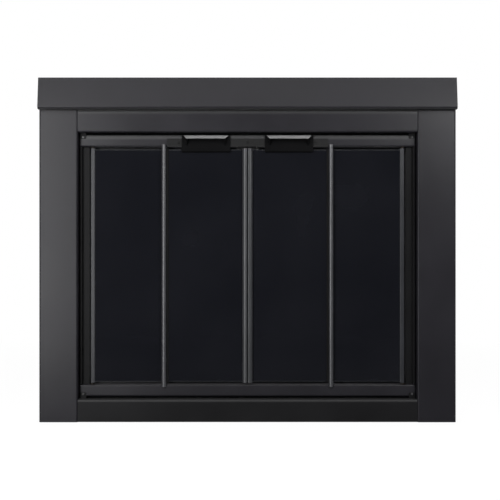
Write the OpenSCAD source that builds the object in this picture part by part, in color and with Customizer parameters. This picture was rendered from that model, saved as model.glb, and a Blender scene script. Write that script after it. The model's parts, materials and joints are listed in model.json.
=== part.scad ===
// Bi-fold glass door set for an open fireplace.
// The front faces -Y, +X is to the right and +Z is up. The origin is on the hearth, under the
// middle of the bottom rail. All sizes are in millimetres.

/* [Surround] */
// Width over the outer sides of the two stiles
surround_w = 957; // [900:1:1100]
// Height of the stiles above the hearth
surround_h = 788.5; // [740:0.5:900]
// Depth from the faces back to the fireplace facing
surround_d = 60; // [54:1:80]
// Width of a stile's face
stile_w = 88.5; // [60:0.5:100]
// Height of the header, underside to top
header_h = 122.5; // [100:0.5:140]
// Height of the header's face that shows below the hood
header_show = 50; // [35:0.5:55]
// How far the header steps back behind the hood
header_step = 3; // [2:0.5:5]
// Height of the bottom rail
rail_h = 52; // [48:1:70]
// Thickness of the surround's sheet steel
sheet = 1.5; // [1:0.1:2]
// Outside radius of the bends beside the faces
bend_r = 4; // [3:0.5:6]
// Width of the lips that seat on the facing
lip_w = 20; // [15:1:22]

/* [Hood] */
// How far the hood reaches past each stile's side
hood_over = 0.5; // [0.5:0.5:10]
// Reach of the hood's lower edge in front of the stiles
hood_reach = 20; // [15:1:40]
// Reach of the hood's top edge in front of the stiles
hood_top_reach = 9; // [4:1:12]
// Height of the hood's lower edge above the header's step
hood_lift = 1; // [1:0.5:6]
// Outside radius of the hood's lower edge
hood_edge_r = 6; // [4:0.5:8]

/* [Door frame] */
// Gap between a stile and the door frame
frame_gap_side = 2; // [2:0.5:10]
// Gap between the header and the door frame
frame_gap_top = 4; // [4:0.5:12]
// Gap between the bottom rail and the door frame
frame_gap_bottom = 4.5; // [4.5:0.5:12]
// Recess of the door frame behind the stiles' faces
frame_recess = 22; // [20:1:26]
// Depth of the bars and the jambs
frame_d = 34; // [33:0.5:35]
// Height of the top bar and of the bottom bar
bar_h = 27.5; // [26:0.5:34]
// Wall of the bars and the jambs
frame_wall = 1.5; // [1:0.1:2]
// Outside radius of the bars' front edges
bar_r = 4; // [2:0.5:5]
// Width of a jamb
jamb_w = 21.5; // [18:0.5:30]
// Width of the lip along a jamb's outer side
jamb_lip = 5; // [4:0.5:8]
// How far a jamb's face lies behind its lip
jamb_step = 10; // [6:0.5:14]
// Height of the draft lip along the back of each bar
draft_lip = 12; // [9:0.5:16]
// Width of the draft lip along the back of each jamb
jamb_draft_lip = 10; // [5:0.5:14]
// Width of the angles that close the gap behind the door frame
closer_w = 17; // [14:0.5:20]
// Depth of those angles along the surround's walls
closer_d = 14; // [8:0.5:16]
// Width of a corner clip
clip_w = 15; // [12:0.5:20]
// Thickness of a corner clip
clip_t = 1.5; // [1:0.1:2]
// Depth of a corner clip's flange
clip_d = 14; // [12:0.5:18]
// Overlap of a corner clip on its bar
clip_lap = 9; // [8:0.5:11]

/* [Doors] */
// Distance from the bars' front back to the middle of the glass
door_set = 7.5; // [7:0.1:9]
// Thickness of the glass
glass_t = 5; // [4:0.5:5]
// Gap between the glass and each bar
glass_gap = 6.5; // [6:0.1:9]
// Depth of the glass in a trim's groove
glass_bite = 3.2; // [2.5:0.1:3.4]
// Thickness of the glazing strip
glazing_t = 0.5; // [0.3:0.05:0.7]
// Thickness of a trim's jaw, from the glass outwards
trim_jaw = 2.3; // [1.8:0.1:2.5]
// How far the trims run past the glass
trim_over = 2.5; // [1.5:0.1:2.6]
// Gap between a door and its jamb
door_gap = 3; // [2.5:0.1:5]
// Gap between the two doors
centre_gap = 1.4; // [1.2:0.1:3]
// How far the lip along each leading edge reaches past the middle of the set
meeting_lap = 0.15; // [0.1:0.05:0.2]
// Thickness of those lips, front to back
meeting_lip = 1.1; // [0.8:0.1:1.2]
// Gap between the two lips, front to back
meeting_step = 2.2; // [2.1:0.1:2.6]
// Width of a pivot trim
pivot_trim_w = 10.5; // [10:0.1:13]
// Distance from a pivot trim's outer side to the pivot's axis
pivot_inset = 3.5; // [3.4:0.1:4]
// Width of a leading-edge trim
edge_trim_w = 11.5; // [11:0.1:14]
// How far a leading-edge trim stands in front of the other trims
edge_proud = 6.5; // [6:0.1:7]
// Radius of a leading-edge trim's rounded front, beside the glass
edge_r = 7.5; // [6:0.1:8]
// Radius of its rounded front, beside the other door
meeting_r = 2.5; // [2.5:0.1:3]
// Width of the outer panel's fold trim behind its rounded nose
fold_trim_w = 5; // [4.8:0.1:7]
// Width of the rounded nose that covers the fold
nose_w = 10.4; // [10.3:0.1:11]
// How far the nose stands in front of the bars, at its straight sides
nose_stand = 1.5; // [1:0.1:3]
// How far the nose laps over each bar
nose_lap = 5.5; // [3:0.1:8]
// Width of the leading panel's fold trim
slim_trim_w = 5; // [4.8:0.1:7]
// Angle that an outer panel opens to
open_angle = 80; // [60:1:82]

/* [Pivots and hinges] */
// Radius of the pivot pins
pivot_pin_r = 2; // [1.8:0.05:2.1]
// Length of a pivot pin inside its trim
pivot_pin_sink = 25; // [15:1:40]
// Radius of a pivot pin's collar
pivot_collar_r = 3.4; // [3:0.1:3.5]
// Outside radius of a pivot bush
bush_r = 4; // [3.5:0.1:4.5]
// Radius of a pivot bush's flange
bush_flange_r = 6; // [5:0.1:6.5]
// Thickness of a pivot bush's flange
bush_flange_t = 1.5; // [1:0.1:2]
// Length of a pivot bush inside the bar
bush_l = 8; // [5:0.5:12]
// Height of a fold hinge
hinge_h = 60; // [45:1:90]
// Distance from a trim's end to its fold hinge
hinge_inset = 60; // [30:1:120]
// Thickness of a hinge leaf
leaf_t = 1.2; // [1:0.1:1.6]
// Radius of a hinge knuckle
knuckle_r = 2.2; // [2:0.05:2.4]
// Radius of a hinge pin
hinge_pin_r = 1.2; // [0.8:0.05:1.4]

/* [Track guide] */
// Distance from the middle of the set to a guide pin
guide_x = 22; // [16:0.5:24]
// Radius of a guide pin
guide_pin_r = 2.5; // [2:0.1:2.6]
// Outside radius of a guide roller
roller_r = 3.3; // [3.1:0.05:3.5]
// Height of a guide pin above the top bar's underside
guide_rise = 9; // [7:0.5:10]
// Thickness of a guide bracket
guide_t = 2; // [1.5:0.1:2]

/* [Pulls and catches] */
// Distance from the middle of the set to the middle of a pull
pull_x = 96; // [90:1:105]
// Width of a pull
pull_w = 112; // [90:1:116]
// Thickness of a pull's metal
pull_t = 2; // [1.5:0.1:2]
// Height of a pull's plate above the top bar's underside
pull_rise = 26; // [20:0.5:27]
// Depth of a pull's plate below the top bar's underside
pull_drop = 11; // [9:0.5:20]
// Depth of the glass in a pull's clamp
clamp_bite = 6.5; // [6:0.5:12]
// Width of a visor where it meets the plate
visor_w = 104; // [80:1:110]
// How much narrower a visor is at its front, at each end
visor_taper = 7; // [3:0.5:12]
// Reach of a visor in front of its plate
visor_reach = 15; // [10:0.5:17]
// Fall of a visor from the plate to its front
visor_fall = 8.5; // [4:0.5:12]
// Height of the catch strip on the top bar
strip_h = 18.5; // [14:0.5:20]
// Thickness of the catch strip
strip_t = 1.2; // [0.8:0.1:1.6]
// Gap between the catch strip and each fold nose
strip_gap = 1.5; // [1:0.1:5]
// Gap between a pull and the catch strip's screw beside it
strip_screw_gap = 3.2; // [1:0.1:8]
// Radius of a catch magnet
magnet_r = 5.5; // [4:0.1:6]
// Thickness of a catch magnet
magnet_t = 4; // [2:0.1:6]

/* [Fixings] */
// Radius of the small screws' shanks
screw_r = 1.5; // [1.2:0.05:1.6]
// Radius of the small screws' heads
head_r = 2.8; // [2.6:0.1:3]
// Height of the small screws' heads
head_h = 1.5; // [1:0.1:1.8]
// Leg of a corner angle
angle_leg = 40; // [30:1:44]
// Length of a corner angle, front to back
angle_l = 40; // [30:1:44]
// Thickness of a corner angle
angle_t = 2; // [1.5:0.1:3]
// Distance from the middle to the outer hood screws
hood_screw_x = 300; // [200:1:340]
// Width of an anchor bracket
bracket_w = 40; // [30:1:60]
// Thickness of an anchor bracket
bracket_t = 2.5; // [2:0.1:4]
// How far an anchor bracket reaches behind the facing
bracket_reach = 60; // [40:1:100]
// Distance from the middle to a lintel bracket
lintel_bracket_x = 250; // [200:1:300]
// Distance from the middle to a floor bracket
floor_bracket_x = 300; // [200:1:310]
// Half the width of an anchor slot
slot_r = 4; // [3:0.25:5]
// Length of an anchor slot, end to end
slot_l = 18; // [12:1:24]
// Distance from an anchor slot to its bracket's end
slot_inset = 15; // [12:1:20]

/* [Hidden] */
$fn = 48;
eps = 0.01;
screw_clear = 0.1;      // radial, around a screw's shank
pin_clear = 0.05;       // radial, around a pin
bush_clear = 0.1;       // radial, around a bush in its bar
leaf_clear = 0.3;       // from a hinge leaf to the fold's axis
knuckle_clear = 0.4;    // from a knuckle to the trims beside it
knuckle_gap = 0.3;      // between two knuckles
nose_clear = 0.5;       // between the nose and the leading panel's trim
nose_bar_clear = 0.35;  // between the nose and the bars
track_clear = 0.4;      // between a roller and the track slot's sides
slot_end_clear = 1.5;   // between a roller and the track slot's ends
seat_clear = 0.1;       // between a collar and its bush
pull_clear = 0.5;       // between a pull and the catch strip
notch_clear = 0.3;      // around a bracket in its notch
stop_cap_t = 1.5;       // head of a guide pin
guide_head_gap = 0.3;   // between a roller and the heads beside it
arc_step = 10;          // degrees between points of a bent edge

face_y = -surround_d / 2;
facing_y = surround_d / 2;
opening_x = surround_w / 2 - stile_w;
opening_bottom = rail_h;
opening_top = surround_h - header_h;
frame_x = opening_x - frame_gap_side;
frame_bottom = opening_bottom + frame_gap_bottom;
frame_top = opening_top - frame_gap_top;
frame_y = face_y + frame_recess;
track_z = frame_top - bar_h;
sill_z = frame_bottom + bar_h;
jamb_x = frame_x - jamb_w;
jamb_face_x = frame_x - jamb_lip;
jamb_face_y = frame_y + jamb_step;
frame_back = frame_y + frame_d;

hood_w = surround_w + 2 * hood_over;
hood_bottom = opening_top + header_show + hood_lift;
hood_top = surround_h + sheet;
hood_front = face_y - hood_reach;
hood_brow = face_y - hood_top_reach;

door_y = frame_y + door_set;
glass_front = door_y - glass_t / 2;
glass_back = door_y + glass_t / 2;
glass_bottom = sill_z + glass_gap;
glass_top = track_z - glass_gap;
trim_bottom = glass_bottom - trim_over;
trim_top = glass_top + trim_over;
trim_front = glass_front - trim_jaw;
trim_back = glass_back + trim_jaw;
groove_w = glass_t + 2 * glazing_t;
groove_y = door_y - groove_w / 2;

door_side_x = jamb_x - door_gap;
pivot_x = door_side_x - pivot_inset;
fold_x = (pivot_x + guide_x) / 2;
fold_y = trim_back + leaf_t + leaf_clear;
fold_half = knuckle_r + knuckle_clear;
edge_x = centre_gap / 2;
arm = pivot_x - fold_x;
fold_set = fold_y - door_y;
guide_end_x = pivot_x - 2 * (arm * cos(open_angle) + fold_set * sin(open_angle));
track_w = 2 * (roller_r + track_clear);

pivot_groove_x = door_side_x - pivot_trim_w;
outer_fold_side_x = fold_x + fold_half + fold_trim_w;
lead_fold_side_x = fold_x - fold_half - slim_trim_w;
edge_side_x = edge_x + edge_trim_w;
edge_front = trim_front - edge_proud;
back_lip_y = trim_back - meeting_lip;
front_lip_y = back_lip_y - meeting_step - meeting_lip;
nose_x = outer_fold_side_x - nose_w;
nose_y = frame_y - nose_stand;
nose_back = frame_y - nose_bar_clear;

strip_x = nose_x - strip_gap;
strip_y = frame_y - strip_t;
pull_back = strip_y - pull_clear;
pull_front = pull_back - pull_t;
pull_top = track_z + pull_rise;
pull_bottom = track_z - pull_drop;
jaw_front = glass_front - glazing_t;
jaw_back = glass_back + glazing_t;
pull_screw_x = pull_w / 3;
clamp_bottom = glass_top - clamp_bite;
pull_screw_z = glass_top - clamp_bite / 2;
strip_screw_x = pull_x + pull_w / 2 + strip_screw_gap + head_r;
strip_screw_z = track_z + strip_h / 2;
magnet_z = frame_top - bar_r - magnet_r;

clip_x = frame_x - clip_w / 2;
clip_screw_y = frame_y + clip_d / 2;
clip_screw_rise = head_r + screw_clear * 4;
angle_screw_y = angle_l / 4;
lintel_z = opening_top + sheet;
anchor_y = facing_y + bracket_reach - slot_inset;
bracket_start = -surround_d / 4;

// ---- shared shapes ----

// Extrudes a section drawn with y across and z up, from x0 to x1.
module along_x(x0, x1) {
    translate([x0, 0, 0]) rotate([90, 0, 90]) linear_extrude(x1 - x0) children();
}

// Extrudes a section drawn in plan, from z0 to z1.
module along_z(z0, z1) {
    translate([0, 0, z0]) linear_extrude(z1 - z0) children();
}

// Everything is drawn for the right-hand side; the left side is its mirror image.
module on_left() {
    mirror([1, 0, 0]) children();
}

module both_sides() {
    children();
    on_left() children();
}

// A box between two corners.
module block(low, high) {
    translate(low) cube(high - low);
}

// A rectangle whose two front corners, at x = 0, are round.
module rounded_front(depth, height, r) {
    translate([r, 0]) square([depth - r, height]);
    translate([0, r]) square([depth, height - 2 * r]);
    for (h = [r, height - r]) translate([r, h]) circle(r);
}

// Bent sheet channel: closed front, open back with a lip at each side.
module channel_section(depth, height) {
    difference() {
        rounded_front(depth, height, bend_r);
        translate([sheet, sheet])
            rounded_front(depth - 2 * sheet, height - 2 * sheet, bend_r - sheet);
        translate([depth - sheet - eps, lip_w])
            square([sheet + 2 * eps, height - 2 * lip_w]);
    }
}

// Pan-head screw: its head stands on z = 0 and its shank runs down.
module screw(length) {
    cylinder(h = head_h / 2, r = head_r);
    translate([0, 0, head_h / 2]) cylinder(h = head_h / 2, r1 = head_r, r2 = head_r * 0.7);
    translate([0, 0, -length]) cylinder(h = length + eps, r = screw_r);
}

// Hole for such a screw, through z = 0.
module screw_hole(length = 3 * sheet) {
    translate([0, 0, -length]) cylinder(h = 2 * length, r = screw_r + screw_clear);
}

// Turns what points up so that it points to the front.
module facing_front() {
    rotate([90, 0, 0]) children();
}

// Flat bar with an anchor slot, from y0 back to y1.
module slotted_bar(y0, y1, z0) {
    difference() {
        block([-bracket_w / 2, y0, z0], [bracket_w / 2, y1, z0 + bracket_t]);
        translate([0, anchor_y, z0 - 1]) long_hole(slot_l, slot_r, bracket_t + 2);
    }
}

// Long hole along X with round ends.
module long_hole(length, r, height) {
    reach = length / 2 - r;
    translate([-reach, -r, 0]) cube([2 * reach, 2 * r, height]);
    for (x = [-reach, reach]) translate([x, 0, 0]) cylinder(h = height, r = r);
}

// ---- surround ----

module stile() {
    color("#3f3f41") difference() {
        along_z(0, surround_h) translate([opening_x, face_y])
            mirror([1, -1, 0]) channel_section(surround_d, stile_w);
        at_angles() angle_side_screws() screw_hole();
    }
}

// The header's face is stepped, so that its round top edge shows under the hood.
module header_section() {
    difference() {
        union() {
            rounded_front(surround_d, header_show, bend_r);
            translate([header_step, bend_r])
                square([surround_d - header_step, header_h - bend_r]);
        }
        translate([sheet, sheet])
            rounded_front(surround_d - 2 * sheet, header_show - 2 * sheet, bend_r - sheet);
        translate([header_step + sheet, bend_r])
            square([surround_d - header_step - 2 * sheet, header_h - bend_r - sheet]);
        translate([surround_d - sheet - eps, lip_w])
            square([sheet + 2 * eps, header_h - 2 * lip_w]);
    }
}

module header_panel() {
    color("#3a3a3d") difference() {
        along_x(-opening_x, opening_x) translate([face_y, opening_top]) header_section();
        header_screw_places() screw_hole();
        header_clip_places() screw_hole();
        both_sides() at_header_angle() angle_floor_screw() screw_hole();
        both_sides() translate([lintel_bracket_x, 0, lintel_z]) bracket_cuts();
    }
}

module bottom_rail() {
    color("#303032") difference() {
        along_x(-opening_x, opening_x) translate([face_y, 0]) channel_section(surround_d, rail_h);
        rail_clip_places() screw_hole();
        both_sides() at_rail_angle() angle_floor_screw() screw_hole();
        both_sides() translate([floor_bracket_x, 0, sheet]) bracket_cuts();
    }
}

// Screw holes and the notch in the back lip for an anchor bracket that lies on z = 0.
module bracket_cuts() {
    bracket_screw_places() screw_hole();
    block(
        [-bracket_w / 2 - notch_clear, facing_y - 2 * sheet, 0],
        [bracket_w / 2 + notch_clear, facing_y + 1, bracket_t + notch_clear]
    );
}

// ---- hood ----

// Points of the hood's rolled lower edge, from its front down to its underside.
function hood_edge(r) = [
    for (a = [180 : arc_step : 270])
        [hood_front + hood_edge_r + r * cos(a), hood_bottom + hood_edge_r + r * sin(a)]
];

function reversed(points) = [for (i = [len(points) - 1 : -1 : 0]) points[i]];

hood_outside = concat(
    [[facing_y, hood_top], [hood_brow, hood_top]],
    hood_edge(hood_edge_r),
    [[face_y, hood_bottom]]
);

hood_inside = concat(
    [[facing_y, surround_h], [hood_brow + sheet, surround_h]],
    hood_edge(hood_edge_r - sheet),
    [[face_y, hood_bottom + sheet]]
);

module hood() {
    color("#444447") difference() {
        union() {
            along_x(-hood_w / 2, hood_w / 2) polygon(concat(hood_outside, reversed(hood_inside)));
            both_sides() along_x(hood_w / 2 - sheet, hood_w / 2) hood_end();
        }
        header_screw_places() screw_hole();
    }
}

// End of the hood, in front of the stile.
module hood_end() {
    intersection() {
        polygon(concat(hood_outside, [[face_y, surround_h], [facing_y, surround_h]]));
        translate([hood_front - 1, hood_bottom])
            square([hood_reach + 1, hood_top - hood_bottom]);
    }
}

module header_screw_places() {
    for (x = [-hood_screw_x, 0, hood_screw_x]) translate([x, 0, hood_top]) children();
}

module hood_screws() {
    color("#2a2a2c") header_screw_places() screw(3 * sheet);
}

// ---- corner angles of the surround ----

module at_header_angle() {
    translate([opening_x, 0, opening_top + sheet]) children();
}

module at_rail_angle() {
    translate([opening_x, 0, sheet]) children();
}

module at_angles() {
    at_header_angle() children();
    at_rail_angle() children();
}

// Screws through the upright leg into the stile.
module angle_side_screws() {
    for (y = [-angle_screw_y, angle_screw_y])
        translate([-angle_t, y, angle_leg * 0.6]) rotate([0, -90, 0]) children();
}

// Screw through the flat leg into the header or the rail.
module angle_floor_screw() {
    translate([-angle_leg * 0.6, 0, angle_t]) children();
}

module corner_angle() {
    difference() {
        union() {
            block([-angle_t, -angle_l / 2, 0], [0, angle_l / 2, angle_leg]);
            block([-angle_leg, -angle_l / 2, 0], [0, angle_l / 2, angle_t]);
        }
        angle_side_screws() screw_hole();
        angle_floor_screw() screw_hole();
    }
}

module corner_angles() {
    color("#8b8d90") both_sides() at_angles() corner_angle();
}

module corner_angle_screws() {
    color("#9b9da0") both_sides() at_angles() {
        angle_side_screws() screw(angle_t + sheet);
        angle_floor_screw() screw(angle_t + sheet);
    }
}

// ---- door frame ----

module bar_section() {
    difference() {
        rounded_front(frame_d, bar_h, bar_r);
        translate([frame_wall, frame_wall])
            rounded_front(frame_d - 2 * frame_wall, bar_h - 2 * frame_wall, bar_r - frame_wall);
    }
}

// Lip that carries on a bar's back wall behind the glass's edge.
module draft_lip_section(low) {
    translate([frame_d - frame_wall, low]) square([frame_wall, draft_lip]);
}

module top_track_bar() {
    slot_start = guide_x - roller_r - slot_end_clear;
    slot_end = guide_end_x + roller_r + slot_end_clear;
    color("#4a4a4e") difference() {
        along_x(-frame_x, frame_x) translate([frame_y, track_z]) {
            bar_section();
            draft_lip_section(-draft_lip);
        }
        both_sides() {
            translate([(slot_start + slot_end) / 2, door_y, track_z - 1])
                long_hole(slot_end - slot_start, track_w / 2, frame_wall + 2);
            translate([pivot_x, door_y, track_z - 1])
                cylinder(h = frame_wall + 2, r = bush_r + bush_clear);
            translate([clip_x, frame_y, frame_top - clip_lap + clip_screw_rise])
                facing_front() screw_hole();
        }
        strip_screw_places() screw_hole();
    }
}

module bottom_bar() {
    color("#3c3c3f") difference() {
        along_x(-frame_x, frame_x) translate([frame_y, frame_bottom]) {
            bar_section();
            draft_lip_section(bar_h);
        }
        both_sides() {
            translate([pivot_x, door_y, sill_z - frame_wall - 1])
                cylinder(h = frame_wall + 2, r = bush_r + bush_clear);
            translate([clip_x, frame_y, frame_bottom + clip_lap - clip_screw_rise])
                facing_front() screw_hole();
        }
    }
}

// The jamb's bent sheet: outer wall, front lip, step back, face, inner return and draft lip.
// It stands between the bars and their draft lips.
module jamb() {
    wall = frame_wall;
    lip_y = frame_back - wall;
    color("#323235") {
        along_z(sill_z, track_z) {
            translate([frame_x - wall, frame_y]) square([wall, lip_y - frame_y]);
            translate([jamb_face_x, frame_y]) square([jamb_lip, wall]);
            translate([jamb_face_x, frame_y]) square([wall, jamb_step + wall]);
            translate([jamb_x, jamb_face_y]) square([jamb_face_x - jamb_x + wall, wall]);
            translate([jamb_x, jamb_face_y]) square([wall, lip_y - jamb_face_y]);
        }
        along_z(sill_z + draft_lip, track_z - draft_lip) {
            translate([frame_x - wall, lip_y - eps]) square([wall, wall + eps]);
            translate([jamb_x - jamb_draft_lip, lip_y]) square([jamb_draft_lip + wall, wall]);
            translate([jamb_x, lip_y - eps]) square([wall, wall + eps]);
        }
    }
}

// Angles, welded into a ring, that carry the door frame's back and close the gap round it.
module gap_closers() {
    side_low = opening_bottom + closer_w;
    side_high = opening_top - closer_w;
    color("#39393b") {
        along_x(-opening_x, opening_x) {
            translate([0, opening_top]) mirror([0, 1, 0]) closer_section();
            translate([0, opening_bottom]) closer_section();
        }
        both_sides() along_z(side_low - eps, side_high + eps)
            translate([opening_x, 0]) rotate(90) closer_section();
    }
}

// The wall of the surround lies on the first axis, and the door frame's back on the second.
module closer_section() {
    front = frame_back + sheet - closer_d;
    translate([front, 0]) square([closer_d, sheet]);
    translate([frame_back, 0]) square([sheet, closer_w]);
}

// Clip that hangs the door frame from a wall of the surround, which lies on z = 0.
module corner_clip(gap) {
    low = -gap - clip_lap;
    difference() {
        union() {
            block([-clip_w / 2, -clip_t, low], [clip_w / 2, 0, 0]);
            block([-clip_w / 2, -clip_t, -clip_t], [clip_w / 2, clip_d, 0]);
        }
        translate([0, -clip_t, low + clip_screw_rise]) facing_front() screw_hole();
        translate([0, clip_d / 2, -clip_t]) screw_hole();
    }
}

module clip_screw_set(gap) {
    translate([0, -clip_t, -gap - clip_lap + clip_screw_rise])
        facing_front() screw(clip_t + frame_wall);
    translate([0, clip_d / 2, -clip_t]) mirror([0, 0, 1]) screw(clip_t + sheet);
}

module at_top_clip() {
    translate([clip_x, frame_y, opening_top]) children();
}

module at_bottom_clip() {
    translate([clip_x, frame_y, opening_bottom]) mirror([0, 0, 1]) children();
}

module header_clip_places() {
    both_sides() translate([clip_x, clip_screw_y, opening_top]) children();
}

module rail_clip_places() {
    both_sides() translate([clip_x, clip_screw_y, opening_bottom]) children();
}

module corner_clips() {
    color("#505054") both_sides() {
        at_top_clip() corner_clip(frame_gap_top);
        at_bottom_clip() corner_clip(frame_gap_bottom);
    }
}

module clip_screws() {
    color("#6a6a6e") both_sides() {
        at_top_clip() clip_screw_set(frame_gap_top);
        at_bottom_clip() clip_screw_set(frame_gap_bottom);
    }
}

module strip_screw_places() {
    for (x = [-strip_screw_x, 0, strip_screw_x])
        translate([x, strip_y, strip_screw_z]) facing_front() children();
}

module catch_strip() {
    color("#2c2c2e") difference() {
        block([-strip_x, strip_y, track_z], [strip_x, frame_y, track_z + strip_h]);
        strip_screw_places() screw_hole();
    }
}

module catch_strip_screws() {
    color("#77777b") strip_screw_places() screw(strip_t + frame_wall);
}

module catch_magnets() {
    color("#b0b2b5") both_sides()
        translate([pull_x, frame_y + frame_wall + magnet_t, magnet_z])
            facing_front() cylinder(h = magnet_t, r = magnet_r);
}

// Flanged bush: its flange hangs under z = 0 and its body stands above.
module pivot_bush() {
    difference() {
        union() {
            translate([0, 0, -bush_flange_t]) cylinder(h = bush_flange_t, r = bush_flange_r);
            cylinder(h = bush_l, r = bush_r);
        }
        translate([0, 0, -bush_flange_t - 1])
            cylinder(h = bush_l + bush_flange_t + 2, r = pivot_pin_r + pin_clear);
    }
}

module pivot_bushes() {
    color("#c9c6bd") both_sides() {
        translate([pivot_x, door_y, track_z]) pivot_bush();
        translate([pivot_x, door_y, sill_z]) mirror([0, 0, 1]) pivot_bush();
    }
}

// ---- anchor brackets ----

module bracket_screw_places() {
    for (y = [bracket_start / 2, -bracket_start]) translate([0, y, bracket_t]) children();
}

module lintel_bracket() {
    difference() {
        slotted_bar(bracket_start, facing_y + bracket_reach, 0);
        bracket_screw_places() screw_hole();
    }
}

// The floor bracket is set down by one sheet behind the rail, so that it lies on the hearth.
module floor_bracket() {
    set_down = facing_y + notch_clear;
    difference() {
        block([-bracket_w / 2, bracket_start, 0], [bracket_w / 2, set_down + bracket_t, bracket_t]);
        bracket_screw_places() screw_hole();
    }
    slotted_bar(set_down, facing_y + bracket_reach, -sheet);
}

module lintel_brackets() {
    color("#9a9c9f") both_sides() translate([lintel_bracket_x, 0, lintel_z]) lintel_bracket();
}

module floor_brackets() {
    color("#9a9c9f") both_sides() translate([floor_bracket_x, 0, sheet]) floor_bracket();
}

module bracket_screws() {
    color("#a5a7aa") both_sides() {
        translate([lintel_bracket_x, 0, lintel_z]) bracket_screw_places() screw(bracket_t + sheet);
        translate([floor_bracket_x, 0, sheet]) bracket_screw_places() screw(bracket_t + sheet);
    }
}

// ---- panels ----

// A pane between two groove floors.
module pane(x0, x1) {
    color([0.08, 0.08, 0.1, 0.6]) block(
        [x0 + glazing_t, glass_front, glass_bottom],
        [x1 - glazing_t, glass_back, glass_top]
    );
}

// Groove that a trim holds the glass in: its floor is at x, and it opens along dir.
module groove(x, dir) {
    length = glass_bite + eps;
    translate([dir > 0 ? x : x - length, groove_y]) square([length, groove_w]);
}

// Strip folded round the edge of the glass, filling a groove.
module glazing_strip(x, dir) {
    low = dir > 0 ? x : x - glass_bite;
    inner = dir > 0 ? x + glazing_t : x - glass_bite - eps;
    color("#19191a") along_z(glass_bottom, glass_top) difference() {
        translate([low, groove_y]) square([glass_bite, groove_w]);
        translate([inner, glass_front]) square([glass_bite - glazing_t + eps, glass_t]);
    }
}

pivot_floor_x = pivot_groove_x + glass_bite;
fold_floor_x = outer_fold_side_x - glass_bite;
lead_floor_x = lead_fold_side_x + glass_bite;
edge_floor_x = edge_side_x - glass_bite;

module outer_glass() {
    pane(fold_floor_x, pivot_floor_x);
}

module outer_glazing() {
    glazing_strip(fold_floor_x, 1);
    glazing_strip(pivot_floor_x, -1);
}

module leading_glass() {
    pane(edge_floor_x, lead_floor_x);
}

module leading_glazing() {
    glazing_strip(edge_floor_x, 1);
    glazing_strip(lead_floor_x, -1);
}

module pivot_trim() {
    corner_r = trim_jaw;
    depth = trim_back - trim_front;
    color("#5c5c60") difference() {
        along_z(trim_bottom, trim_top) difference() {
            translate([pivot_groove_x, trim_front])
                mirror([1, -1, 0]) rounded_front(depth, pivot_trim_w, corner_r);
            groove(pivot_floor_x, -1);
        }
        for (z = [trim_bottom - 1, trim_top - pivot_pin_sink])
            translate([pivot_x, door_y, z])
                cylinder(h = pivot_pin_sink + 1, r = pivot_pin_r + pin_clear);
    }
}

// Upper pivot pin; the lower one is its mirror image. The collar stands on the trim's end.
module pivot_pin() {
    rise = track_z - trim_top;
    translate([0, 0, -pivot_pin_sink + seat_clear])
        cylinder(h = pivot_pin_sink + rise + bush_l - 1, r = pivot_pin_r);
    cylinder(h = rise - bush_flange_t - seat_clear, r = pivot_collar_r);
}

module pivot_pins() {
    color("#a9abae") {
        translate([pivot_x, door_y, trim_top]) pivot_pin();
        translate([pivot_x, door_y, trim_bottom]) mirror([0, 0, 1]) pivot_pin();
    }
}

// Plan of the rounded nose, back to the given y.
module nose_section(back) {
    translate([nose_x, nose_y]) square([nose_w, back - nose_y]);
    intersection() {
        translate([nose_x + nose_w / 2, nose_y]) circle(nose_w / 2);
        translate([nose_x, nose_y - nose_w]) square([nose_w, nose_w + eps]);
    }
}

module outer_fold_trim() {
    color("#626266") {
        along_z(trim_bottom, trim_top) difference() {
            union() {
                translate([fold_x + fold_half, trim_front])
                    square([fold_trim_w, trim_back - trim_front]);
                translate([fold_x + fold_half, nose_y])
                    square([fold_trim_w, trim_front - nose_y + eps]);
                nose_section(trim_front - nose_clear);
            }
            groove(fold_floor_x, 1);
        }
        along_z(sill_z - nose_lap, track_z + nose_lap) nose_section(nose_back);
    }
}

module leading_fold_trim() {
    color("#1d1d1f") along_z(trim_bottom, trim_top) difference() {
        translate([lead_fold_side_x, trim_front])
            square([slim_trim_w, trim_back - trim_front]);
        groove(lead_floor_x, -1);
    }
}

// The lip of the right door lies behind that of the left, so that no gap shows from the front,
// and either door can open by itself.
module edge_trim(lip_y) {
    arc_x = edge_side_x - edge_r;
    arc_y = edge_front + edge_r;
    meeting_x = edge_x + meeting_r;
    meeting_y = edge_front + meeting_r;
    color("#66666a") difference() {
        along_z(trim_bottom, trim_top) difference() {
            union() {
                translate([meeting_x, meeting_y]) circle(meeting_r);
                translate([meeting_x, edge_front])
                    square([arc_x - meeting_x, trim_back - edge_front]);
                translate([edge_x, meeting_y])
                    square([arc_x - edge_x, trim_back - meeting_y]);
                translate([edge_x, arc_y]) square([edge_trim_w, trim_back - arc_y]);
                translate([-meeting_lap, lip_y]) square([2 * edge_x, meeting_lip]);
                intersection() {
                    translate([arc_x, arc_y]) circle(edge_r);
                    translate([arc_x, edge_front]) square([edge_r, edge_r + eps]);
                }
            }
            groove(edge_floor_x, 1);
        }
        guide_screw_place() screw_hole(guide_screw_l + guide_t);
    }
}

// ---- fold hinges ----

knuckle_h = (hinge_h - 2 * knuckle_gap) / 3;

module at_hinges() {
    for (z = [trim_bottom + hinge_inset, trim_top - hinge_inset - hinge_h])
        translate([fold_x, fold_y, z]) children();
}

// A knuckle and the tongue that joins it to a leaf on the +X side.
module knuckle(z, bore_r) {
    translate([0, 0, z]) difference() {
        union() {
            cylinder(h = knuckle_h, r = knuckle_r);
            translate([0, -leaf_clear - leaf_t, 0]) cube([fold_half + eps, leaf_t, knuckle_h]);
        }
        translate([0, 0, -1]) cylinder(h = knuckle_h + 2, r = bore_r);
    }
}

// A leaf lies on the back of its trim and is as wide.
module leaf(width) {
    translate([fold_half, -leaf_clear - leaf_t, 0]) cube([width, leaf_t, hinge_h]);
}

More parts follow.
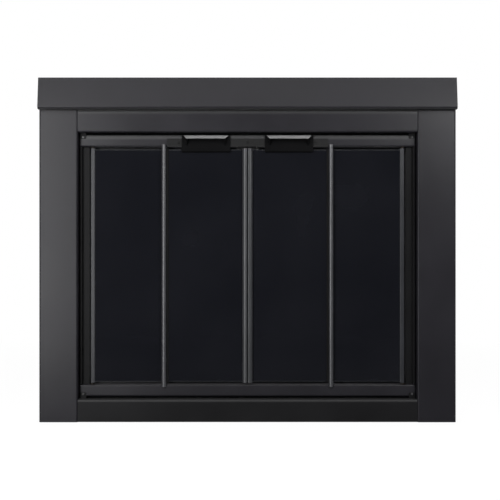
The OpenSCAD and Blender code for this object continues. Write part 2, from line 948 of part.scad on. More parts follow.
module hinge_outer_leaves() {
    color("#3a3a3c") at_hinges() {
        leaf(fold_trim_w);
        knuckle(0, hinge_pin_r + pin_clear);
        knuckle(hinge_h - knuckle_h, hinge_pin_r + pin_clear);
    }
}

module hinge_leading_leaves() {
    color("#3a3a3c") at_hinges() on_left() {
        leaf(slim_trim_w);
        knuckle(knuckle_h + knuckle_gap, hinge_pin_r + pin_clear);
    }
}

module hinge_pins() {
    color("#a9abae") at_hinges() cylinder(h = hinge_h, r = hinge_pin_r);
}

// ---- track guide ----

guide_screw_l = 10;
guide_bracket_half = 4.5;
guide_screw_x = edge_x + 4.3;

module guide_screw_place() {
    translate([guide_screw_x, door_y, trim_top + guide_t]) children();
}

module guide_bracket() {
    color("#2e2e30") difference() {
        block(
            [edge_x + knuckle_clear, door_y - guide_bracket_half, trim_top],
            [guide_x + guide_bracket_half, door_y + guide_bracket_half, trim_top + guide_t]
        );
        guide_screw_place() screw_hole();
        translate([guide_x, door_y, trim_top - 1])
            cylinder(h = guide_t + 2, r = guide_pin_r + pin_clear);
    }
}

// The screw's flat head stays under the top bar.
module guide_screw() {
    color("#8f9194") guide_screw_place() {
        cylinder(h = head_h / 2, r = head_r);
        translate([0, 0, -guide_screw_l]) cylinder(h = guide_screw_l + eps, r = screw_r);
    }
}

// Pin riveted into the bracket: a flat head below, and a cap above the roller.
module guide_pin() {
    tip = track_z + guide_rise;
    color("#a9abae") translate([guide_x, door_y, 0]) {
        translate([0, 0, trim_top - stop_cap_t]) cylinder(h = stop_cap_t, r = roller_r);
        translate([0, 0, trim_top - eps]) cylinder(h = tip - trim_top, r = guide_pin_r);
        translate([0, 0, tip - stop_cap_t]) cylinder(h = stop_cap_t, r = roller_r);
    }
}

module guide_roller() {
    low = trim_top + guide_t + guide_head_gap;
    high = track_z + guide_rise - stop_cap_t - guide_head_gap;
    color("#d8d6cf") translate([guide_x, door_y, low]) difference() {
        cylinder(h = high - low, r = roller_r);
        translate([0, 0, -1]) cylinder(h = high - low + 2, r = guide_pin_r + pin_clear);
    }
}

// ---- pulls ----

// The sloping visor, drawn flat from its hinge line at the plate's top.
module visor() {
    slope = atan2(visor_fall, visor_reach);
    length = norm([visor_fall, visor_reach]);
    front_w = visor_w - 2 * visor_taper;
    translate([0, pull_front + eps, pull_top - pull_t]) rotate([slope, 0, 0])
        linear_extrude(pull_t)
            polygon([
                [-visor_w / 2, 0], [visor_w / 2, 0],
                [front_w / 2, -length], [-front_w / 2, -length]
            ]);
}

// Triangular cheek under each end of the visor.
module visor_cheeks() {
    depth = pull_rise / 2;
    end_x = visor_w / 2 - visor_taper;
    for (x = [-end_x, end_x - pull_t])
        along_x(x, x + pull_t) polygon([
            [pull_front + eps, pull_top - pull_t],
            [pull_front - visor_reach + pull_t, pull_top - pull_t - visor_fall + eps],
            [pull_front + eps, pull_top - pull_t - visor_fall - depth]
        ]);
}

// One bent and welded piece: plate, visor, cheeks, and the clamp over the glass's top edge.
module pull() {
    half = pull_w / 2;
    web_z = glass_top + glazing_t;
    color("#2b2b2d") translate([pull_x, 0, 0]) difference() {
        union() {
            block([-half, pull_front, pull_bottom], [half, pull_back, pull_top]);
            block([-half, pull_front, web_z], [half, jaw_back + pull_t, web_z + pull_t]);
            block([-half, jaw_front - pull_t, clamp_bottom], [half, jaw_front, web_z + eps]);
            block([-half, jaw_back, clamp_bottom], [half, jaw_back + pull_t, web_z + eps]);
            visor();
            visor_cheeks();
        }
        pull_screw_places() screw_hole(pull_t + screw_clear);
    }
}

// Places of the clamp's screws, measured from the middle of the pull.
module pull_screw_places() {
    for (x = [-pull_screw_x, pull_screw_x])
        translate([x, jaw_back + pull_t, pull_screw_z]) rotate([-90, 0, 0]) children();
}

module pull_pad() {
    color("#19191a") translate([pull_x, 0, 0]) difference() {
        block(
            [-pull_w / 2, jaw_front, clamp_bottom],
            [pull_w / 2, jaw_back, glass_top + glazing_t]
        );
        block(
            [-pull_w / 2 - 1, glass_front, clamp_bottom - 1],
            [pull_w / 2 + 1, glass_back, glass_top]
        );
    }
}

module pull_screws() {
    color("#8f9194") translate([pull_x, 0, 0]) pull_screw_places() screw(pull_t);
}

// ---- nodes ----

on_left() stile();  // left_stile
stile();  // right_stile
header_panel();
bottom_rail();
hood();
hood_screws();
corner_angles();
corner_angle_screws();
top_track_bar();
bottom_bar();
on_left() jamb();  // left_jamb
jamb();  // right_jamb
gap_closers();
corner_clips();
clip_screws();
catch_strip();
catch_strip_screws();
catch_magnets();
pivot_bushes();
lintel_brackets();
floor_brackets();
bracket_screws();

on_left() outer_glass();  // left_outer_glass
on_left() outer_glazing();  // left_outer_glazing
on_left() pivot_trim();  // left_pivot_trim
on_left() pivot_pins();  // left_pivot_pins
on_left() outer_fold_trim();  // left_fold_trim
on_left() hinge_outer_leaves();  // left_hinge_outer_leaves
on_left() hinge_pins();  // left_hinge_pins
on_left() leading_glass();  // left_leading_glass
on_left() leading_glazing();  // left_leading_glazing
on_left() leading_fold_trim();  // left_leading_fold_trim
on_left() edge_trim(front_lip_y);  // left_edge_trim
on_left() hinge_leading_leaves();  // left_hinge_leading_leaves
on_left() guide_bracket();  // left_guide_bracket
on_left() guide_screw();  // left_guide_screw
on_left() guide_pin();  // left_guide_pin
on_left() guide_roller();  // left_guide_roller
on_left() pull();  // left_pull
on_left() pull_pad();  // left_pull_pad
on_left() pull_screws();  // left_pull_screws

outer_glass();  // right_outer_glass
outer_glazing();  // right_outer_glazing
pivot_trim();  // right_pivot_trim
pivot_pins();  // right_pivot_pins
outer_fold_trim();  // right_fold_trim
hinge_outer_leaves();  // right_hinge_outer_leaves
hinge_pins();  // right_hinge_pins
leading_glass();  // right_leading_glass
leading_glazing();  // right_leading_glazing
leading_fold_trim();  // right_leading_fold_trim
edge_trim(back_lip_y);  // right_edge_trim
hinge_leading_leaves();  // right_hinge_leading_leaves
guide_bracket();  // right_guide_bracket
guide_screw();  // right_guide_screw
guide_pin();  // right_guide_pin
guide_roller();  // right_guide_roller
pull();  // right_pull
pull_pad();  // right_pull_pad
pull_screws();  // right_pull_screws
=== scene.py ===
import json
import math
import random

import bmesh
import bpy
from mathutils import Matrix, Vector


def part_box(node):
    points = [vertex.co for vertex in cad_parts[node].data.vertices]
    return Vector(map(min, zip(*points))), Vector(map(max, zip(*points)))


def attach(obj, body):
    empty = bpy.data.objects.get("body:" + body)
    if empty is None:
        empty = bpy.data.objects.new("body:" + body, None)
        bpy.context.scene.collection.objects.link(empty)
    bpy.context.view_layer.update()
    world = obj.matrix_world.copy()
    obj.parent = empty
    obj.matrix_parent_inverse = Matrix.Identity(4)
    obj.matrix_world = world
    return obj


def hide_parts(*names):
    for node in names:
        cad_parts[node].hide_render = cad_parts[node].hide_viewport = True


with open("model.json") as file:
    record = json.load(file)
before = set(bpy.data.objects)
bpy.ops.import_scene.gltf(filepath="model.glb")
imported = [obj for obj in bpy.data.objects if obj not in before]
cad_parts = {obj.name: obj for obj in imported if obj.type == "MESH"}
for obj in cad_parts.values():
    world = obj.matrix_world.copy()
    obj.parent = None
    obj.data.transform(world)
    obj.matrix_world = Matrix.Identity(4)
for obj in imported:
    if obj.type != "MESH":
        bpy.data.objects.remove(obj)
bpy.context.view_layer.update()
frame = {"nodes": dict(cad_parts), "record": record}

# ---- Camera ----
# The photograph is a straight front view with little perspective. The camera stands level in
# front of the hood, a little right of the middle and at the height of the middle of the doors.
PHOTO_PX = 500
HOOD_EDGE_PX = 420.6  # length of the hood's lower edge in the photograph
CAMERA_DISTANCE = 2.6  # from the hood's lower edge
CAMERA_X = 0.0057
CAMERA_Z = 0.3954
SENSOR_MM = 36.0

hood_low, hood_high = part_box("hood")
view_w = (hood_high.x - hood_low.x) * PHOTO_PX / HOOD_EDGE_PX

camera = bpy.data.objects.new("camera", bpy.data.cameras.new("camera"))
camera.data.sensor_width = SENSOR_MM
camera.data.lens = SENSOR_MM * CAMERA_DISTANCE / view_w
camera.location = (CAMERA_X, hood_low.y - CAMERA_DISTANCE, CAMERA_Z)
camera.rotation_euler = (math.radians(90), 0, 0)
bpy.context.scene.collection.objects.link(camera)
bpy.context.scene.camera = camera
bpy.context.scene.view_settings.view_transform = "Standard"


# ---- White surroundings ----
# A pale floor that runs on into a white background. What the lens, metal and glass see of them is
# plain white, while the light that they throw on the object is weaker. Gloss that faces the other
# way mirrors the dim half of the studio, behind the lens. The floor keeps a shadow.
SKY_LIGHT = 0.45
STUDIO_GREY = 0.2
SKY_TURN = (-0.3, 0.3)  # part of a ray's way to the back, from the dim half to the white one
FLOOR_SIZE = 14.0
FLOOR_DROP = 0.0004
FLOOR_TURN = (-0.1, 0.3)  # places in y between which the floor turns from dim to white
FLOOR_GLOW = 0.94  # share of the look that no shadow darkens, near the object
SHADOW_FADE = (1.0, 2.5)  # distances between which the rest of the shadow fades
FLOOR_WHITE = (0.92, 0.92, 0.92, 1)
WHITE = (1, 1, 1, 1)
COLOUR_A, COLOUR_B, COLOUR_RESULT = 6, 7, 2  # sockets of a Mix node that blends colours


class Signal:
    """A socket of a node tree. Arithmetic on it adds the Math nodes that work it out."""

    def __init__(self, tree, socket=None):
        self.tree = tree
        self.socket = socket

    def node(self, kind, settings=None, inputs=None, output=0):
        """Adds a node: its settings first, then values or signals for its sockets."""
        made = self.tree.nodes.new(kind)
        for name, value in (settings or {}).items():
            setattr(made, name, value)
        for name, value in (inputs or {}).items():
            if isinstance(value, Signal):
                self.tree.links.new(value.socket, made.inputs[name])
            else:
                made.inputs[name].default_value = value
        return Signal(self.tree, made.outputs[output] if made.outputs else None)

    def math(self, operation, first, second):
        """What a Math node makes of two values."""
        return self.node("ShaderNodeMath", {"operation": operation}, {0: first, 1: second})

    def __add__(self, other):
        return self.math("ADD", self, other)

    def __sub__(self, other):
        return self.math("SUBTRACT", self, other)

    def __rsub__(self, other):
        return self.math("SUBTRACT", other, self)

    def __mul__(self, other):
        return self.math("MULTIPLY", self, other)

    def over(self, low, high):
        """0 where the signal is below low and 1 where it is above high."""
        inputs = {"Value": self, "From Min": low, "From Max": high}
        return self.node("ShaderNodeMapRange", inputs=inputs)

    def blend(self, first, second):
        """A colour between two, by this signal."""
        inputs = {"Factor": self, COLOUR_A: first, COLOUR_B: second}
        return self.node("ShaderNodeMix", {"data_type": "RGBA"}, inputs, COLOUR_RESULT)

    __radd__ = __add__
    __rmul__ = __mul__


def seen_rays(start):
    """1 for what the lens, a gloss or a clear pane sees, and 0 for light on its way."""
    rays = ["Is Camera Ray", "Is Glossy Ray", "Is Transmission Ray"]
    camera_ray, glossy_ray, clear_ray = [
        start.node("ShaderNodeLightPath", output=name) for name in rays
    ]
    return start.math("MAXIMUM", camera_ray, start.math("MAXIMUM", glossy_ray, clear_ray))


def show(output_kind, shader):
    """Sends a shader to its tree's output."""
    output = next(node for node in shader.tree.nodes if node.bl_idname == output_kind)
    shader.tree.links.new(shader.socket, output.inputs["Surface"])


def seen_brightness(start, behind):
    """White, but for gloss only where behind is 1: in front it mirrors the dim studio."""
    gloss = start.node("ShaderNodeLightPath", output="Is Glossy Ray")
    return gloss * (behind * (1 - STUDIO_GREY) + STUDIO_GREY) + (1 - gloss)


world = bpy.data.worlds.new("white_surroundings")
world.use_nodes = True
bpy.context.scene.world = world
sky = Signal(world.node_tree)
ray_way = sky.node("ShaderNodeTexCoord", output="Generated")
ray_back = sky.node("ShaderNodeSeparateXYZ", inputs={0: ray_way}, output="Y")
brightness = seen_brightness(sky, ray_back.over(*SKY_TURN))
sky_light = sky.node("ShaderNodeBackground", inputs={"Color": WHITE, "Strength": SKY_LIGHT})
sky_seen = sky.node("ShaderNodeBackground", inputs={"Color": WHITE, "Strength": brightness})
sky_mix = {0: seen_rays(sky), 1: sky_light, 2: sky_seen}
show("ShaderNodeOutputWorld", sky.node("ShaderNodeMixShader", inputs=sky_mix))

floor_paint = bpy.data.materials.new("white_floor")
floor_paint.use_nodes = True
ground = Signal(floor_paint.node_tree)
ground_place = ground.node("ShaderNodeTexCoord", output="Object")
reach = ground.node("ShaderNodeVectorMath", {"operation": "LENGTH"}, {0: ground_place}, "Value")
unshaded = reach.over(*SHADOW_FADE) * (1 - FLOOR_GLOW) + FLOOR_GLOW
matt = ground.node("ShaderNodeBsdfDiffuse", inputs={"Color": FLOOR_WHITE})
place_back = ground.node("ShaderNodeSeparateXYZ", inputs={0: ground_place}, output="Y")
brightness = seen_brightness(ground, place_back.over(*FLOOR_TURN))
glow = ground.node("ShaderNodeEmission", inputs={"Color": WHITE, "Strength": brightness})
ground_mix = {0: seen_rays(ground) * unshaded, 1: matt, 2: glow}
show("ShaderNodeOutputMaterial", ground.node("ShaderNodeMixShader", inputs=ground_mix))

floor_mesh = bmesh.new()
bmesh.ops.create_grid(floor_mesh, x_segments=1, y_segments=1, size=FLOOR_SIZE / 2)
bmesh.ops.translate(floor_mesh, vec=(0, 0, -FLOOR_DROP), verts=floor_mesh.verts)
floor_data = bpy.data.meshes.new("floor")
floor_mesh.to_mesh(floor_data)
floor_mesh.free()
floor_data.materials.append(floor_paint)
floor = bpy.data.objects.new("floor", floor_data)
bpy.context.scene.collection.objects.link(floor)


# ---- Studio lights ----
# As in the photograph, a tall softbox at the left, with a small one at its foot, lights the left
# side from top to bottom, and one at the right lights the hood and the upper right. One in front
# above the hood and one overhead pick out the upper edges. The closed panes mirror none of them
# to the camera in front, so they stay dark.
def softbox(name, place, aim, size, watts):
    """An area light of that width and height at a place, aimed at a point."""
    light = bpy.data.lights.new(name, "AREA")
    light.shape = "RECTANGLE"
    light.size, light.size_y = size
    light.energy = watts
    lamp = bpy.data.objects.new(name, light)
    lamp.location = place
    way = Vector(aim) - Vector(place)
    lamp.rotation_euler = way.to_track_quat("-Z", "Y").to_euler()
    bpy.context.scene.collection.objects.link(lamp)


softbox("left_softbox", (-0.86, -1.5, 0.65), aim=(-0.4, 0, 0.45), size=(0.35, 1.3), watts=30)
softbox("low_softbox", (-0.9, -1.45, 0.13), aim=(-0.45, 0, 0.03), size=(0.4, 0.24), watts=3)
softbox("front_softbox", (0.0, -1.2, 1.35), aim=(0, 0, 0.7), size=(1.8, 0.3), watts=12)
softbox("right_softbox", (0.82, -1.2, 0.96), aim=(0.4, 0, 0.6), size=(0.35, 0.36), watts=12)
softbox("top_softbox", (0, 0.5, 2.2), aim=(0, -0.05, 0.5), size=(2.0, 0.9), watts=22)


# ---- Surround: stiles, header, bottom rail and hood ----
# Sheet steel 1.5 mm thick, folded into open channels and screwed together at the corners. The
# hood is one more folded sheet that hangs over the header. All are powder-coated satin black.
EASE = 0.0004  # rounding that a coat leaves on a cut edge
EASE_STEPS = 2
CREASE = math.radians(30)  # edges sharper than this get rounded
SAME_PLACE = 1e-6  # points nearer than this are one
FLAT = math.radians(0.3)  # faces that turn by less than this are one
FAINT_PEEL = 0.00003  # relief of a thin coat of paint
CLOUD_SPAN = (0.3, 0.7)  # where most of a cloudy pattern's values lie
SPECK_SPAN = (0.35, 0.8)  # between which a fine pattern turns to specks
UPWARD = (0.6, 1.0)  # how far up a face turns, between which dust settles
DUST = (0.12, 0.115, 0.11, 1)
MOST_DUST = 0.15

body_of = {
    node: body
    for body, nodes in frame["record"]["behaviour"]["bodies"].items()
    for node in nodes
}


def finish(name, constants):
    """A material whose plain numbers and colours are set on the shader's own sockets."""
    material = bpy.data.materials.new(name)
    material.use_nodes = True
    shader = material.node_tree.nodes["Principled BSDF"]
    for socket, value in constants.items():
        shader.inputs[socket].default_value = value
    return material


def feed(material, patterns):
    """Drives sockets of a material's shader with patterns."""
    tree = material.node_tree
    for socket, signal in patterns.items():
        tree.links.new(signal.socket, tree.nodes["Principled BSDF"].inputs[socket])


def noise(place, scale, detail=2.0):
    """Soft cloudy pattern of that many cells to the metre, 0 to 1."""
    inputs = {"Vector": place, "Scale": scale, "Detail": detail}
    return place.node("ShaderNodeTexNoise", inputs=inputs)


def bump(height, depth):
    """Normal of a surface with a relief of that depth, in metres."""
    return height.node("ShaderNodeBump", inputs={"Height": height, "Distance": depth})


def place_on(material):
    """Place on the object, for a material's patterns."""
    return Signal(material.node_tree).node("ShaderNodeTexCoord", output="Object")


def facing(material):
    """How far a point of the surface faces up, from -1 to 1."""
    normal = Signal(material.node_tree).node("ShaderNodeNewGeometry", output="Normal")
    return normal.node("ShaderNodeSeparateXYZ", inputs={0: normal}, output="Z")


def height_on(material):
    """Height of a point of the surface, in metres."""
    place = place_on(material)
    return place.node("ShaderNodeSeparateXYZ", inputs={0: place}, output="Z")


def shades(colour, *shares):
    """Darker and paler forms of a colour."""
    return [tuple(part * share for part in colour) + (1,) for share in shares]


def powder_coat(name, colour, roughness, gloss, relief=0.00005):
    """Baked coat: slight cloudiness, fine orange-peel relief and a little dust on top."""
    material = finish(name, {"Specular IOR Level": gloss})
    place = place_on(material)
    clouds = noise(place, scale=9.0, detail=4.0)
    peel = noise(place, scale=650.0, detail=1.0)
    specks = noise(place, scale=60.0, detail=6.0).over(*SPECK_SPAN)
    dust = facing(material).over(*UPWARD) * specks * MOST_DUST
    coat = clouds.over(*CLOUD_SPAN).blend(*shades(colour, 0.85, 1.15))
    feed(material, {
        "Base Color": dust.blend(coat, DUST),
        "Roughness": clouds * 0.10 + (roughness - 0.05) + dust * 0.5,
        "Normal": bump(peel, relief),
    })
    return material


def dressed(node, *materials, ease=EASE):
    """Shows a copy of a CAD node, with smooth bends and eased edges, in the node's stead."""
    mesh = bmesh.new()
    mesh.from_mesh(frame["nodes"][node].data)
    bmesh.ops.remove_doubles(mesh, verts=mesh.verts, dist=SAME_PLACE)
    bmesh.ops.dissolve_limit(mesh, angle_limit=FLAT, verts=mesh.verts, edges=mesh.edges)
    for face in mesh.faces:
        face.smooth = True
    stand_in(node, mesh, materials, ease)


def stand_in(node, mesh, materials, ease):
    """Makes a mesh the piece that is shown for a CAD node."""
    data = bpy.data.meshes.new(node + "_finished")
    mesh.to_mesh(data)
    mesh.free()
    for material in materials:
        data.materials.append(material)
    piece = bpy.data.objects.new(node + "_finished", data)
    bpy.context.scene.collection.objects.link(piece)
    edges = piece.modifiers.new("eased_edges", "BEVEL")
    edges.width = ease
    edges.segments = EASE_STEPS
    edges.limit_method = "ANGLE"
    edges.angle_limit = CREASE
    edges.material = len(materials) - 1
    shading = piece.modifiers.new("flat_faces", "WEIGHTED_NORMAL")
    shading.keep_sharp = True
    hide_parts(node)
    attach(piece, body_of[node])


def paint_highlight(material, mask, colour):
    """Paints a paler colour on a coat where a mask is 1, as a painted highlight."""
    shader = material.node_tree.nodes["Principled BSDF"]
    coat = Signal(material.node_tree, shader.inputs["Base Color"].links[0].from_socket)
    feed(material, {"Base Color": mask.blend(coat, colour)})


SURROUND_COAT = {"colour": (0.0078, 0.0075, 0.0093), "roughness": 0.34, "gloss": 0.11}
RAIL_EDGE = (0.0455, 0.0485)  # heights between which the painted highlight sets in
RAIL_HIGHLIGHT = (0.019, 0.019, 0.0195, 1)
HOOD_UNDERSIDE = (0.5, 0.95)  # how far down a face turns, between which the painted highlight sets in
HOOD_HIGHLIGHT = (0.020, 0.020, 0.0205, 1)
HEADER_EDGE = (0.706, 0.713)
HEADER_HIGHLIGHT = (0.030, 0.030, 0.031, 1)

surround_coat = powder_coat("surround_powder_coat", **SURROUND_COAT)
for node in ["left_stile", "right_stile"]:
    dressed(node, surround_coat)

# The rail's coat is duller and darker than the rest; its darker colour is painted shade, for the
# weaker light along the bottom. The paler tone along its upper edge is a painted highlight, for
# the light on a bend too fine to catch it.
rail_coat = powder_coat(
    "rail_powder_coat", colour=(0.0052, 0.0052, 0.0056), roughness=0.36, gloss=0.065
)
paint_highlight(rail_coat, height_on(rail_coat).over(*RAIL_EDGE), RAIL_HIGHLIGHT)
dressed("bottom_rail", rail_coat)

# Paler tones under the hood and along the header's top are painted highlights, for the light on
# their fine bends.
hood_coat = powder_coat("hood_powder_coat", **SURROUND_COAT)
paint_highlight(hood_coat, (0 - facing(hood_coat)).over(*HOOD_UNDERSIDE), HOOD_HIGHLIGHT)
dressed("hood", hood_coat)
header_coat = powder_coat("header_powder_coat", **SURROUND_COAT)
paint_highlight(header_coat, height_on(header_coat).over(*HEADER_EDGE), HEADER_HIGHLIGHT)
dressed("header_panel", header_coat)


# ---- Corner angles and anchor brackets ----
# Zinc-plated steel angles behind the surround's corners, and the flat brackets that take the
# anchors into the lintel and the hearth.
def metal_finish(name, colour, roughness):
    """Plated, oiled or blackened metal with a faint mottle and a fine drawn grain."""
    material = finish(name, {"Metallic": 1.0})
    place = place_on(material)
    mottle = noise(place, scale=140.0, detail=3.0)
    grain = noise(place, scale=1200.0, detail=1.0)
    feed(material, {
        "Base Color": mottle.over(*CLOUD_SPAN).blend(*shades(colour, 0.8, 1.1)),
        "Roughness": mottle * 0.2 + (roughness - 0.1),
        "Normal": bump(grain, depth=0.00002),
    })
    return material


zinc = metal_finish("zinc_plate", colour=(0.55, 0.56, 0.57), roughness=0.38)
for node in ["corner_angles", "lintel_brackets", "floor_brackets"]:
    dressed(node, zinc)


# ---- Door frame: bars, jambs, clips and gap closers ----
# Square steel bars across the top and the bottom, and folded jambs between them, hung from the
# surround on small clips. Angles behind the frame close the gap round it.
BAR_COAT = {"colour": (0.0088, 0.0085, 0.0103), "roughness": 0.34, "gloss": 0.12}
TRACK_EDGE = (0.650, 0.654)  # heights between which the painted highlight sets in
TRACK_HIGHLIGHT = (0.027, 0.027, 0.028, 1)

dressed("bottom_bar", powder_coat("frame_powder_coat", **BAR_COAT))

# The paler tone along the top bar's upper edge is a painted highlight, for the light on its fine
# bend.
track_coat = powder_coat("track_powder_coat", **BAR_COAT)
paint_highlight(track_coat, height_on(track_coat).over(*TRACK_EDGE), TRACK_HIGHLIGHT)
dressed("top_track_bar", track_coat)

# The jambs and corner clips get a darker, duller coat than the bars. Its darker colour is painted
# shade, for the recess beside the doors and the space under the header.
shaded_jamb_coat = powder_coat(
    "jamb_powder_coat", colour=(0.0045, 0.0045, 0.0048), roughness=0.42, gloss=0.04
)
for node in ["left_jamb", "right_jamb", "corner_clips"]:
    dressed(node, shaded_jamb_coat)

# The closers and the catch strip are only painted, so they are duller than the coated parts.
dark_coat = powder_coat(
    "matt_black_paint", (0.0035, 0.0035, 0.0037), roughness=0.62, gloss=0.05, relief=FAINT_PEEL
)
dressed("gap_closers", dark_coat)
strip_coat = powder_coat(
    "catch_strip_paint", (0.006, 0.006, 0.0062), roughness=0.60, gloss=0.08, relief=FAINT_PEEL
)
dressed("catch_strip", strip_coat)


# ---- Screws ----
# Pan-head screws with a cross recess, turned home at whatever angle they stopped at. Those in
# the black parts are blackened, and the others are zinc-plated.
HEAD_R = 0.0028
HEAD_H = 0.0015
SHANK_R = 0.0015
HEAD_STEPS = 24
RECESS_R = 0.0016  # reach of the cross
RECESS_ARM = 0.0003  # half the width of an arm
RECESS_DEPTH = 0.0008
RECESS_TAPER = 0.75  # width of the recess's floor, as a share of its mouth
FLAT_R = 0.0019  # flat middle of the head
HEAD_RINGS = [(0.0024, 0.0013), (0.0027, 0.0009), (HEAD_R, 0.0004), (HEAD_R, 0.0)]  # r, height
SCREW_EASE = EASE / 4
END_BAND = 1e-5  # points this near to a screw's end lie on it
TURNS_SEED = 4

turns = random.Random(TURNS_SEED)


def new_edges(made):
    """The edges that an extrusion has made."""
    return [part for part in made["geom"] if isinstance(part, bmesh.types.BMEdge)]


def lathe_on(mesh, loop, radius, new_radius, drop):
    """Carries a round loop on to a new radius and further down the screw's axis."""
    made = bmesh.ops.extrude_edge_only(mesh, edges=loop)
    verts = [part for part in made["geom"] if isinstance(part, bmesh.types.BMVert)]
    share = new_radius / radius
    bmesh.ops.scale(mesh, vec=(share, share, 1), verts=verts)
    bmesh.ops.translate(mesh, vec=(0, 0, -drop), verts=verts)
    inside = set(verts)
    return [edge for edge in new_edges(made) if inside.issuperset(edge.verts)]


def screw_mesh(length):
    """One screw: its head stands on z = 0 and its shank runs down to -length."""
    mesh = bmesh.new()
    arm, reach = RECESS_ARM, RECESS_R
    corner = [(reach, -arm), (reach, arm), (arm, arm)]
    cross = []
    for quarter in range(4):
        turn = Matrix.Rotation(quarter * math.pi / 2, 3, "Z")
        cross += [mesh.verts.new(turn @ Vector((x, y, HEAD_H))) for x, y in corner]
    cross_loop = [mesh.edges.new((a, b)) for a, b in zip(cross, cross[1:] + cross[:1])]
    rim = bmesh.ops.create_circle(mesh, segments=HEAD_STEPS, radius=FLAT_R)["verts"]
    bmesh.ops.translate(mesh, vec=(0, 0, HEAD_H), verts=rim)
    rim_loop = list({edge for vert in rim for edge in vert.link_edges})
    bmesh.ops.triangle_fill(mesh, use_beauty=True, edges=cross_loop + rim_loop, normal=(0, 0, 1))
    floor_loop = lathe_on(mesh, cross_loop, 1.0, RECESS_TAPER, RECESS_DEPTH)
    bmesh.ops.edgeloop_fill(mesh, edges=floor_loop)
    radius, height, loop = FLAT_R, HEAD_H, rim_loop
    for new_radius, new_height in HEAD_RINGS + [(SHANK_R, 0.0), (SHANK_R, -length)]:
        loop = lathe_on(mesh, loop, radius, new_radius, height - new_height)
        radius, height = new_radius, new_height
    bmesh.ops.edgeloop_fill(mesh, edges=loop)
    bmesh.ops.recalc_face_normals(mesh, faces=mesh.faces)
    data = bpy.data.meshes.new("screw")
    mesh.to_mesh(data)
    mesh.free()
    return data


def loose_parts(mesh):
    """The separate solids of a mesh, each as a list of its points."""
    left, parts = set(mesh.verts), []
    while left:
        found, waiting = set(), [left.pop()]
        while waiting:
            vert = waiting.pop()
            found.add(vert)
            near = {edge.other_vert(vert) for edge in vert.link_edges} & left
            left -= near
            waiting += near
        parts.append([vert.co.copy() for vert in found])
    return sorted(parts, key=lambda points: tuple(min(points, key=tuple)))


def screw_seat(points):
    """Middle of a screw's seat, the way its head faces, and its shank's length."""
    low = Vector([min(point[i] for point in points) for i in range(3)])
    high = Vector([max(point[i] for point in points) for i in range(3)])
    size = high - low
    along = max(range(3), key=lambda i: abs(size[i] - 2 * HEAD_R))
    middle = (low + high) / 2
    reach = {
        end: max(
            (point - middle).length for point in points if abs(point[along] - end) < END_BAND
        )
        for end in (low[along], high[along])
    }
    head_end = high[along] if reach[high[along]] > reach[low[along]] else low[along]
    way = Vector((0, 0, 0))
    way[along] = 1 if head_end == high[along] else -1
    seat = middle.copy()
    seat[along] = head_end - way[along] * HEAD_H
    return seat, way, size[along] - HEAD_H


def screws(node, material):
    """Stands a detailed screw in the place of each plain one of a CAD node."""
    plain = bmesh.new()
    plain.from_mesh(frame["nodes"][node].data)
    bmesh.ops.remove_doubles(plain, verts=plain.verts, dist=SAME_PLACE)
    mesh = bmesh.new()
    for points in loose_parts(plain):
        seat, way, length = screw_seat(points)
        turned = Matrix.Rotation(turns.uniform(0, math.pi / 2), 4, "Z")
        upright = way.to_track_quat("Z", "Y").to_matrix().to_4x4()
        one = screw_mesh(length)
        one.transform(Matrix.Translation(seat) @ upright @ turned)
        mesh.from_mesh(one)
        bpy.data.meshes.remove(one)
    plain.free()
    stand_in(node, mesh, [material], SCREW_EASE)


black_screw = powder_coat(
    "blackened_screw", (0.022, 0.022, 0.023), roughness=0.36, gloss=0.35, relief=0.00001
)
for node in ["hood_screws", "clip_screws"]:
    screws(node, black_screw)
screws("catch_strip_screws", strip_coat)
for node in ["corner_angle_screws", "bracket_screws"]:
    screws(node, zinc)


# ---- Catch magnets and pivot bushes ----
# Nickel-plated disc magnets behind the catch strip hold the pulls shut. The doors' pins turn in
# flanged bushes of sintered bronze.
nickel = metal_finish("nickel_plate", colour=(0.68, 0.67, 0.65), roughness=0.26)
dressed("catch_magnets", nickel)
bronze = metal_finish("oiled_bronze", colour=(0.030, 0.024, 0.018), roughness=0.62)
dressed("pivot_bushes", bronze)


# ---- Doors: panes ----
# Smoked tempered glass 5 mm thick, near black. Its top and bottom edges are bare, ground and
# polished, and they catch the light as a thin paler line.
ARRIS = 0.0009  # width of the ground slope along each edge
HAZE_SPAN = (0.35, 0.75)
CLEAR_HAZE, FULL_HAZE = (0.0028, 0.0030, 0.0042, 1), (0.0042, 0.0044, 0.0058, 1)
DARK_EDGE, PALE_EDGE = (0.012, 0.013, 0.015, 1), (0.022, 0.024, 0.027, 1)


def smoked_glass(name):
    """Near-opaque dark glass with a breath of haze."""
    material = finish(name, {"Specular IOR Level": 0.10, "Alpha": 0.995})
    haze = noise(place_on(material), scale=5.0, detail=3.0).over(*HAZE_SPAN)
    feed(material, {
        "Base Color": haze.blend(CLEAR_HAZE, FULL_HAZE),
        "Roughness": haze * 0.05 + 0.04,
    })
    return material


def ground_edge(name):
    """Glass that a wheel has ground along the edge."""
    material = finish(name, {"Specular IOR Level": 0.5})
    grind = noise(place_on(material), scale=900.0)
    feed(material, {
        "Base Color": grind.blend(DARK_EDGE, PALE_EDGE),
        "Roughness": grind * 0.2 + 0.3,
        "Normal": bump(grind, depth=0.00002),
    })
    return material


pane_glass = smoked_glass("smoked_glass")
pane_edge = ground_edge("ground_glass_edge")
for side in ["left", "right"]:
    for pane in ["_outer_glass", "_leading_glass"]:
        dressed(side + pane, pane_glass, pane_edge, ease=ARRIS)


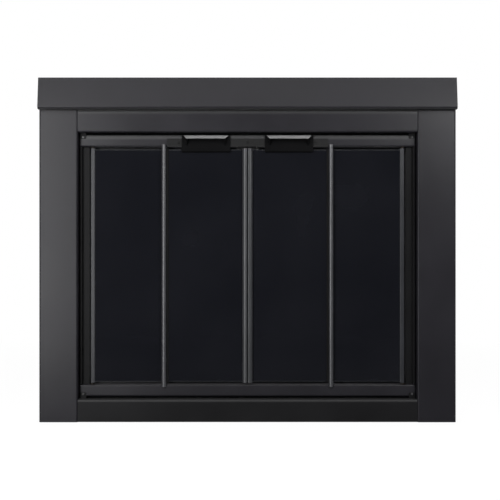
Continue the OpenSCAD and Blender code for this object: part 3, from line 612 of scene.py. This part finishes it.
# ---- Doors: trims ----
# Steel trims grooved for the glass: a slim one at the pivot, a round-nosed one that covers the
# fold, a plain one beside it in matt black, which is painted shade for the dark gap beside the
# fold, and a bull-nosed one along the leading edge.
slim_trim_coat = powder_coat(
    "slim_trim_powder_coat", colour=(0.0125, 0.013, 0.015), roughness=0.34, gloss=0.18
)
fold_trim_coat = powder_coat(
    "fold_trim_powder_coat", colour=(0.021, 0.0215, 0.024), roughness=0.35, gloss=0.46
)
edge_trim_coat = powder_coat(
    "edge_trim_powder_coat", colour=(0.016, 0.0165, 0.0185), roughness=0.38, gloss=0.34
)
for side in ["left", "right"]:
    dressed(side + "_pivot_trim", slim_trim_coat)
    dressed(side + "_fold_trim", fold_trim_coat)
    dressed(side + "_edge_trim", edge_trim_coat)
    dressed(side + "_leading_fold_trim", dark_coat)


# ---- Doors: glazing strips and pull pads ----
# Thin black heat-proof strip, folded round the glass's edge in each groove and under each pull's
# clamp.
DARK_FIBRE, PALE_FIBRE = (0.006, 0.006, 0.006, 1), (0.02, 0.02, 0.02, 1)


def heat_proof_strip(name):
    """Dull woven-fibre strip."""
    material = finish(name, {"Specular IOR Level": 0.2})
    fibre = noise(place_on(material), scale=1500.0, detail=3.0)
    feed(material, {
        "Base Color": fibre.blend(DARK_FIBRE, PALE_FIBRE),
        "Roughness": fibre * 0.2 + 0.7,
        "Normal": bump(fibre, depth=0.0001),
    })
    return material


def paint(material, *nodes):
    """Gives CAD nodes, whose shapes are right as they are, their finish."""
    for node in nodes:
        for place in frame["nodes"][node].material_slots:
            place.material = material


strip = heat_proof_strip("heat_proof_strip")
for side in ["left", "right"]:
    paint(strip, side + "_outer_glazing", side + "_leading_glazing", side + "_pull_pad")


# ---- Doors: hinges, pivots and track guides ----
# Two small pin hinges join the panels behind each fold. Steel pins carry the outer panel, and a
# bracket with a pin and a plastic roller guides the leading panel in the top bar's slot.
FINE_EASE = EASE / 2
DARK_PLASTIC, PALE_PLASTIC = (0.010, 0.010, 0.010, 1), (0.014, 0.014, 0.014, 1)

black_steel = metal_finish("blackened_steel", colour=(0.03, 0.03, 0.031), roughness=0.55)
for side in ["left", "right"]:
    for leaf in ["_hinge_outer_leaves", "_hinge_leading_leaves", "_guide_bracket"]:
        dressed(side + leaf, dark_coat, ease=FINE_EASE)
    for pin in ["_hinge_pins", "_pivot_pins", "_guide_pin", "_guide_screw"]:
        dressed(side + pin, black_steel, ease=FINE_EASE)


def moulded_plastic(name):
    """Dense black plastic with faint flow marks."""
    material = finish(name, {"Specular IOR Level": 0.3})
    flow = noise(place_on(material), scale=300.0)
    feed(material, {
        "Base Color": flow.blend(DARK_PLASTIC, PALE_PLASTIC),
        "Roughness": flow * 0.1 + 0.4,
    })
    return material


plastic = moulded_plastic("black_moulded_plastic")
for side in ["left", "right"]:
    dressed(side + "_guide_roller", plastic, ease=FINE_EASE)


# ---- Pulls ----
# Each pull is bent and welded from 2 mm steel: a plate over the top bar, a sloping visor to pull
# on, and a clamp over the glass's top edge, with two small screws behind.
PULL_EASE = 0.0006
PULL_SHADE = (0.0022, 0.0022, 0.0024)
PULL_HIGHLIGHT = (0.19, 0.19, 0.192, 1)
VISOR_SLOPE = (0.5, 0.8)  # how far up a face turns, between which the painted highlight sets in


def shade_and_highlight_coat(name):
    """Coat painted near black as shade under the visor, with a painted highlight on the visor's
    slope.
    """
    material = powder_coat(name, PULL_SHADE, roughness=0.42, gloss=0.016)
    patches = noise(place_on(material), scale=45.0) * 0.4 + 0.7
    paint_highlight(material, facing(material).over(*VISOR_SLOPE) * patches, PULL_HIGHLIGHT)
    return material


pull_coat = shade_and_highlight_coat("pull_coat_painted_light")
for side in ["left", "right"]:
    dressed(side + "_pull", pull_coat, ease=PULL_EASE)
    screws(side + "_pull_screws", zinc)
